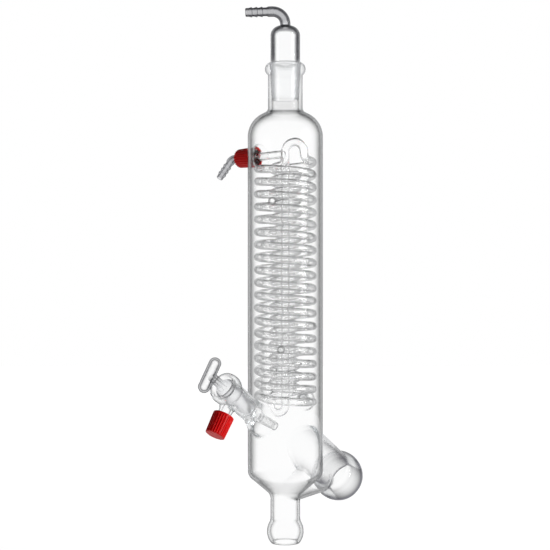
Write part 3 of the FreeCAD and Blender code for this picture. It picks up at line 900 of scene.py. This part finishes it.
vacuum_corner = Vector((0, 0, 504.6))
vacuum_side = direction(180, -2.0)
vacuum_path = rounded_path(
    [Vector((0, 0, joint_bottom)), vacuum_corner, vacuum_corner + vacuum_side * vacuum_reach],
    [vacuum_bend_r], 6)
run = sum((after - before).length for before, after in zip(vacuum_path, vacuum_path[1:]))
dome_rise = (adapter_body_r - vacuum_tube_r) * math.tan(math.radians(dome_slope))
foot = dome_height + dome_rise - joint_bottom
inner_foot = foot - 1.15
joint_length = joint_top - joint_bottom
adapter_points = outline(
    [(joint_small_r - 0.5, 0), (joint_small_r, 0.5), (joint_large_r, joint_length, 1.5),
     (adapter_body_r, 34.5, 1.5), (adapter_body_r, 67.5, 9.0), (vacuum_tube_r, foot, 1.5),
     (vacuum_tube_r, run - 22.0, 1.0)]
    + barbed_corners(vacuum_barb_r, run - barbed_length, run)
    + [(vacuum_bore_r, run), (vacuum_bore_r, inner_foot, 1.5), (adapter_inside_r, 66.0, 7.5),
       (adapter_inside_r, 32.0), (joint_small_r - adapter_wall, 0)])
adapter = bent_piece("vacuum_adapter_piece", vacuum_path, adapter_points, 96)
# Painted shade: the adapter's edges darken at a slant, more above 456 mm and most on the bent tube
# above 492 mm, whose face is also painted grey.
adapter_glass = glass("adapter glass", glass_tint, 30.0, ior=1.12, edge=grey(0.7), start=0.2, end=0.45)
adapter_shade = adapter_glass.node_tree.nodes["Edge shade"].inputs
for label, station, outside, inside in (
        ("Edge shade colour", 456.0, grey(0.7), grey(0.2)),
        ("Edge shade colour", 492.0, None, grey(0.1)),
        ("Face colour", 492.0, white, grey(0.72)),
        ("Start", 492.0, 0.2, 0.0)):
    zoned(adapter_glass, adapter_shade[label], (0, 0, 0), up, whole_r, station, outside, inside)
dressed(smoothed(adapter), adapter_glass, "adapter", "adapter_glass", "vacuum_adapter")


# The stopcock key is a hollow ground plug, open below, with a side hole that meets the side arm.
# A stem with a collar carries the blown T handle.
plug_wall = 2.0
stem_r = 4.3
stem_bore_r = 1.8
handle_station = 121.2
handle_r = 5.6
handle_half = 17.5
handle_wall = 1.7
handle_centre = barrel_base + barrel_axis * handle_station


def capsule(radius, half, centre):
    """A rod with round ends along the handle's axis."""
    low = half - radius
    slant = radius * 0.7071
    inset = radius * 0.2929
    points = arc_points((0, -half), (slant, -half + inset), (radius, -half + radius))
    points += arc_points((radius, low), (slant, half - inset), (0, half))
    return turned("capsule", points, centre, handle_axis, 64)


key = turned("stopcock_key_piece", outline(
    [(0, plug_foot), (plug_small_r, plug_foot, 0.5), (plug_large_r, plug_top),
     (plug_large_r, plug_top + 3.6, 3.2), (stem_r, plug_top + 3.6)],
    (5.7, plug_top + 5.6),
    [(stem_r, plug_top + 7.6), (stem_r, handle_station), (0, handle_station)],
), barrel_base, barrel_axis, 80, 3)
key = shaped(key, "UNION", [capsule(handle_r, handle_half, handle_centre)])
hollow = turned("hollow", outline(
    [(0, plug_foot - 1), (plug_small_r - plug_wall, plug_foot - 1),
     (plug_small_r - plug_wall, plug_foot), (plug_large_r - plug_wall, plug_top),
     (plug_large_r - plug_wall, plug_top + 1.6, 1.0), (stem_bore_r, plug_top + 1.6),
     (stem_bore_r, handle_station), (0, handle_station)]), barrel_base, barrel_axis, 64)
key = shaped(key, "DIFFERENCE", [
    hollow,
    capsule(handle_r - handle_wall, handle_half - handle_wall, handle_centre),
    bar(5.0, 0, 18.8, arm_base, arm_axis, 48),
])
# Painted shade: the key's edges darken a little at a slant, and the handle's much more.
key_glass = glass("key glass", (0.5, 0.55, 0.57), 15.0, ior=1.08, edge=grey(0.85), start=0.02, end=0.6)
key_nodes = key_glass.node_tree.nodes
key_zone = (barrel_base, barrel_axis, whole_r)
zoned(key_glass, key_nodes["Edge shade"].inputs["Edge shade colour"], *key_zone, 108.0, grey(0.85), grey(0.2))
zoned(key_glass, key_nodes["Principled BSDF"].inputs["Roughness"], *key_zone, 100.0, 0.3, 0.15)
dressed(smoothed(key), key_glass, "key", "key_glass", "stopcock_key")


# Both screw caps are moulded in red plastic with grip ribs, over a plain bore. The side arm's cap is
# closed, and the water port's has a hole for the connector. Each presses on a loose ring of white
# silicone, a liner or a seal, which is drawn by its CAD solid.
cap_length = 20.5
cap_rim_r = 9.9
cap_end_r = 9.2
cap_end_wall = 2.2
cap_bore_d = 14.4
cap_edge = 0.7
cap_rib_count = 24
cap_rib_height = 0.5
cap_rib_r = 0.75
cap_rim_band = 2.2
cap_lean = math.atan((cap_rim_r - cap_end_r) / cap_length)
liner_thickness = 2.0
seal_thickness = 1.6
connector_flange = 1.8
connector_hole_r = 4.9


def moulded_skin_group():
    """The skin of a moulded part: its colour clouds a little, its gloss varies, and it has a
    fine grain from the mould."""
    tree, given, result, _ = group_tree("ShaderNodeTree", "Moulded skin", [
        ("Light colour", "Color", (0.8, 0.8, 0.8, 1)),
        ("Deep colour", "Color", (0.7, 0.7, 0.7, 1)),
        ("Cloud scale", "Float", 90.0),
        ("Grain scale", "Float", 1400.0),
        ("Grain height", "Float", 0.00003),
        ("Glossy roughness", "Float", 0.25),
        ("Dull roughness", "Float", 0.4),
    ], [("Colour", "Color"), ("Roughness", "Float"), ("Normal", "Vector")])
    coords = tree.nodes.new("ShaderNodeTexCoord")
    clouds, grain = [add_node(tree, "ShaderNodeTexNoise", {
        "Detail": detail, "Vector": coords.outputs["Object"], "Scale": given[scale],
    }) for detail, scale in ((2.0, "Cloud scale"), (1.0, "Grain scale"))]
    gloss = add_node(tree, "ShaderNodeMapRange", {
        "Value": clouds.outputs["Fac"],
        "From Min": 0.3,
        "From Max": 0.7,
        "To Min": given["Glossy roughness"],
        "To Max": given["Dull roughness"],
    })
    raised = add_node(tree, "ShaderNodeBump", {
        "Height": grain.outputs["Fac"], "Distance": given["Grain height"]})
    fill(tree, result, {
        "Colour": add_blend(
            tree, clouds.outputs["Fac"], given["Light colour"], given["Deep colour"]),
        "Roughness": gloss.outputs["Result"],
        "Normal": raised.outputs["Normal"],
    })
    return tree


moulded_skin = moulded_skin_group()


def moulded(name, light, deep, glossy, dull, grain_height):
    """A moulded plastic or rubber with the skin that the mould leaves."""
    material = bpy.data.materials.new(name)
    material.use_nodes = True
    tree = material.node_tree
    skin = tree.nodes.new("ShaderNodeGroup")
    skin.node_tree = moulded_skin
    fill(tree, skin, {
        "Light colour": (*light, 1),
        "Deep colour": (*deep, 1),
        "Glossy roughness": glossy,
        "Dull roughness": dull,
        "Grain height": grain_height * mm,
    })
    fill(tree, tree.nodes["Principled BSDF"], {
        "Base Color": skin.outputs["Colour"],
        "Roughness": skin.outputs["Roughness"],
        "Normal": skin.outputs["Normal"],
    })
    return material


red = moulded("red cap plastic", (0.56, 0.003, 0.002), (0.44, 0.001, 0.002), 0.25, 0.38, 0.03)
red.node_tree.nodes["Principled BSDF"].inputs["Specular IOR Level"].default_value = 0.06


def ribbed_tree():
    """A tree that sets straight ribs around a cap that stands on the origin along Z."""
    tree, given, result, names = mesh_tree("Grip ribs", "Body", [
        ("Rib count", "Int", cap_rib_count),
        ("Rib radius", "Float", cap_rib_r * mm),
        ("Rib length", "Float", 17.5 * mm),
        ("Rib place", "Vector", None),
        ("Rib lean", "Vector", None),
    ])
    rib = add_node(tree, "GeometryNodeMeshCylinder", {
        "Vertices": 12, "Radius": given["Rib radius"], "Depth": given["Rib length"]})
    stood = add_node(tree, "GeometryNodeTransform", {
        "Geometry": rib.outputs["Mesh"],
        "Translation": given["Rib place"],
        "Rotation": given["Rib lean"],
    })
    spots = add_node(tree, "GeometryNodePoints", {"Count": given["Rib count"]})
    share = add_math(tree, "DIVIDE", math.tau, given["Rib count"])
    index = tree.nodes.new("GeometryNodeInputIndex")
    turn = add_node(tree, "ShaderNodeCombineXYZ", {
        "Z": add_math(tree, "MULTIPLY", index.outputs["Index"], share)})
    ribs = add_node(tree, "GeometryNodeInstanceOnPoints", {
        "Points": spots.outputs["Points"],
        "Instance": stood.outputs["Geometry"],
        "Rotation": turn.outputs["Vector"],
    })
    both = add_node(tree, "GeometryNodeJoinGeometry", {"Geometry": given["Body"]})
    fill(tree, both, {"Geometry": ribs.outputs["Instances"]})
    end_mesh(tree, given, result, both.outputs["Geometry"])
    return tree, names


rib_tree, rib_inputs = ribbed_tree()


def screw_cap(name, base, axis, start, hole_r):
    """A cap with its rim at a station of an axis, and with a hole in its end if that has a radius."""
    band = cap_rim_band - 0.4
    body = turned(name, outline(
        [(0, 0), (cap_rim_r, 0, cap_edge), (cap_rim_r - band * math.tan(cap_lean), band),
         (cap_rim_r - cap_rib_height, cap_rim_band),
         (cap_end_r - cap_rib_height, cap_length, cap_edge), (0, cap_length)],
    ), sides=96, longest=4)
    tools = [bar(cap_bore_d, -1, cap_length - cap_end_wall, (0, 0, 0), up, 64)]
    if hole_r > 0:
        tools.append(bar(hole_r * 2, 0, cap_length + 1, (0, 0, 0), up, 48))
    body = shaped(body, "DIFFERENCE", tools)
    rib_length = cap_length - cap_rim_band
    rib_middle = cap_rim_band - 0.2 + rib_length / 2
    place = (cap_rim_r - math.tan(cap_lean) * rib_middle - cap_rib_r) * mm
    cap = made_by_nodes(name, body, rib_tree, {
        rib_inputs["Rib count"]: cap_rib_count,
        rib_inputs["Rib length"]: rib_length * mm,
        rib_inputs["Rib place"]: (place, 0.0, rib_middle * mm),
        rib_inputs["Rib lean"]: (0.0, -cap_lean, 0.0),
        rib_inputs["Material"]: red,
    })
    return set_along(cap, base, axis, start)


side_start = arm_end + liner_thickness + cap_end_wall - cap_length
side_cap = screw_cap("arm_cap_piece", arm_base, arm_axis, side_start, 0)
dressed(smoothed(side_cap), red, "side_cap", "red_plastic", "arm_cap")
water_start = port_end + seal_thickness + connector_flange + cap_end_wall - cap_length
water_cap = screw_cap("port_cap_piece", port_base, port_axis, water_start, connector_hole_r)
dressed(smoothed(water_cap), red, "water_cap", "red_plastic", "port_cap")

silicone = moulded("silicone", (0.82, 0.81, 0.78), (0.76, 0.75, 0.71), 0.55, 0.7, 0.05)
for name in ("arm_liner", "port_seal"):
    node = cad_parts[name]
    node.data.materials.clear()
    node.data.materials.append(silicone)


# The hose connector is moulded in clear plastic as one bent tube. Its flange is held between the
# seal and the water cap's end, and its arm has barbs for the cooling water hose.
connector_flange_r = 6.4
connector_r = 4.2
connector_barb_r = 3.4
connector_bore_r = 2.4
connector_arm = 26.0
connector_bend_r = 10.0
seat = port_base + port_axis * (port_end + seal_thickness)
bend_corner = seat + port_axis * 15.7
hose_axis = direction(135.0, -43.0)
hose_path = rounded_path(
    [seat, bend_corner, bend_corner + hose_axis * connector_arm], [connector_bend_r], 6)
run = sum((after - before).length for before, after in zip(hose_path, hose_path[1:]))
connector = bent_piece("hose_connector_piece", hose_path, outline(
    [(connector_flange_r, 0), (connector_flange_r, connector_flange), (connector_r, connector_flange),
     (connector_r, run - 22.0, 1.0)] + barbed_corners(connector_barb_r, run - barbed_length, run)
    + [(connector_bore_r, run), (connector_bore_r, 0)]), 64)
# Painted shade: the connector's edges are darkened where seen at a slant. Its face colour is a plain
# light grey.
connector_glass = glass("connector plastic", (0.5, 0.53, 0.55), 60.0, ior=1.12, edge=grey(0.1),
                        start=0.0, end=0.7, face=grey(0.82), roughness=0.1)
dressed(smoothed(connector), connector_glass, "connector", "connector_plastic", "hose_connector")


# The stage: a pale floor well below the hanging condenser, a surround that is white to the camera
# and white up to a slant for glass, and one soft lamp from the right front.
floor_half = 3000
floor_drop = 60
floor = piece_from("floor", [
    (x * floor_half, y * floor_half, -floor_drop)
    for x, y in ((-1, -1), (1, -1), (1, 1), (-1, 1))], [(0, 1, 2, 3)])
pale = bpy.data.materials.new("pale floor")
pale.use_nodes = True
floor_tree = pale.node_tree
shader = floor_tree.nodes["Principled BSDF"]
floor.data.materials.append(pale)


def seen_by_glass(tree):
    """1 for a ray that left a glossy or clear surface, else 0."""
    kind = tree.nodes.new("ShaderNodeLightPath").outputs
    return add_math(tree, "MAXIMUM", kind["Is Glossy Ray"], kind["Is Transmission Ray"])


def seen_by_camera(tree):
    """1 for a ray from the camera, else 0."""
    return tree.nodes.new("ShaderNodeLightPath").outputs["Is Camera Ray"]


glow_level = add_node(floor_tree, "ShaderNodeMapRange", {
    "Value": seen_by_camera(floor_tree), "To Min": 0.55, "To Max": 0.8})
fill(floor_tree, shader, {
    "Base Color": (0.9, 0.9, 0.9, 1),
    "Roughness": 0.9,
    "Emission Color": (1, 1, 1, 1),
    "Emission Strength": glow_level.outputs["Result"],
})
glow = floor_tree.nodes.new("ShaderNodeEmission")
choice = add_node(floor_tree, "ShaderNodeMixShader", {
    "Fac": seen_by_glass(floor_tree), 1: shader.outputs["BSDF"], 2: glow.outputs["Emission"]})
fill(floor_tree, floor_tree.nodes["Material Output"], {"Surface": choice.outputs["Shader"]})

room_level = 0.12
world = bpy.data.worlds.new("studio")
bpy.context.scene.world = world
world.use_nodes = True
world_tree = world.node_tree
coords = world_tree.nodes.new("ShaderNodeTexCoord")
split = add_node(world_tree, "ShaderNodeSeparateXYZ", {"Vector": coords.outputs["Generated"]})
tall = add_node(world_tree, "ShaderNodeMapRange", {
    "Value": split.outputs["Z"],
    "From Min": 0.6,
    "From Max": 0.45,
    "To Min": room_level,
    "To Max": 1.0,
})
tall.interpolation_type = "SMOOTHSTEP"


def add_choice(tree, share, first, second):
    """A value that goes from the first to the second with the share."""
    node = tree.nodes.new("ShaderNodeMix")
    node.data_type = "FLOAT"
    fill(tree, node, {"Factor": share, "A": first, "B": second})
    return node.outputs["Result"]


to_glass = add_choice(world_tree, seen_by_glass(world_tree), room_level, tall.outputs["Result"])
fill(world_tree, world_tree.nodes["Background"], {
    "Color": (1, 1, 1, 1),
    "Strength": add_choice(world_tree, seen_by_camera(world_tree), to_glass, 1.0),
})

sun_data = bpy.data.lights.new("soft lamp", "SUN")
sun_data.energy = 3.2
sun_data.angle = math.radians(25)
sun = bpy.data.objects.new("soft lamp", sun_data)
sun.rotation_euler = Vector((0.95, -0.5, 0.15)).to_track_quat("Z", "Y").to_euler()
bpy.context.scene.collection.objects.link(sun)

picture_px = 550
picture_width = 522.5
camera_distance = 1150
camera_height = 253.9
camera_data = bpy.data.cameras.new("camera")
camera_data.sensor_width = 36
camera_data.lens = camera_data.sensor_width * camera_distance / picture_width
camera_data.shift_x = -10.3 / picture_px
camera = bpy.data.objects.new("camera", camera_data)
camera.location = Vector((0, -camera_distance, camera_height)) * mm
camera.rotation_euler = (math.pi / 2, 0, 0)
bpy.context.scene.collection.objects.link(camera)
bpy.context.scene.camera = camera

bpy.context.scene.view_settings.view_transform = "Standard"
bpy.context.scene.cycles.max_bounces = 64
bpy.context.scene.cycles.transmission_bounces = 64
bpy.context.scene.cycles.glossy_bounces = 16

bpy.context.view_layer.update()
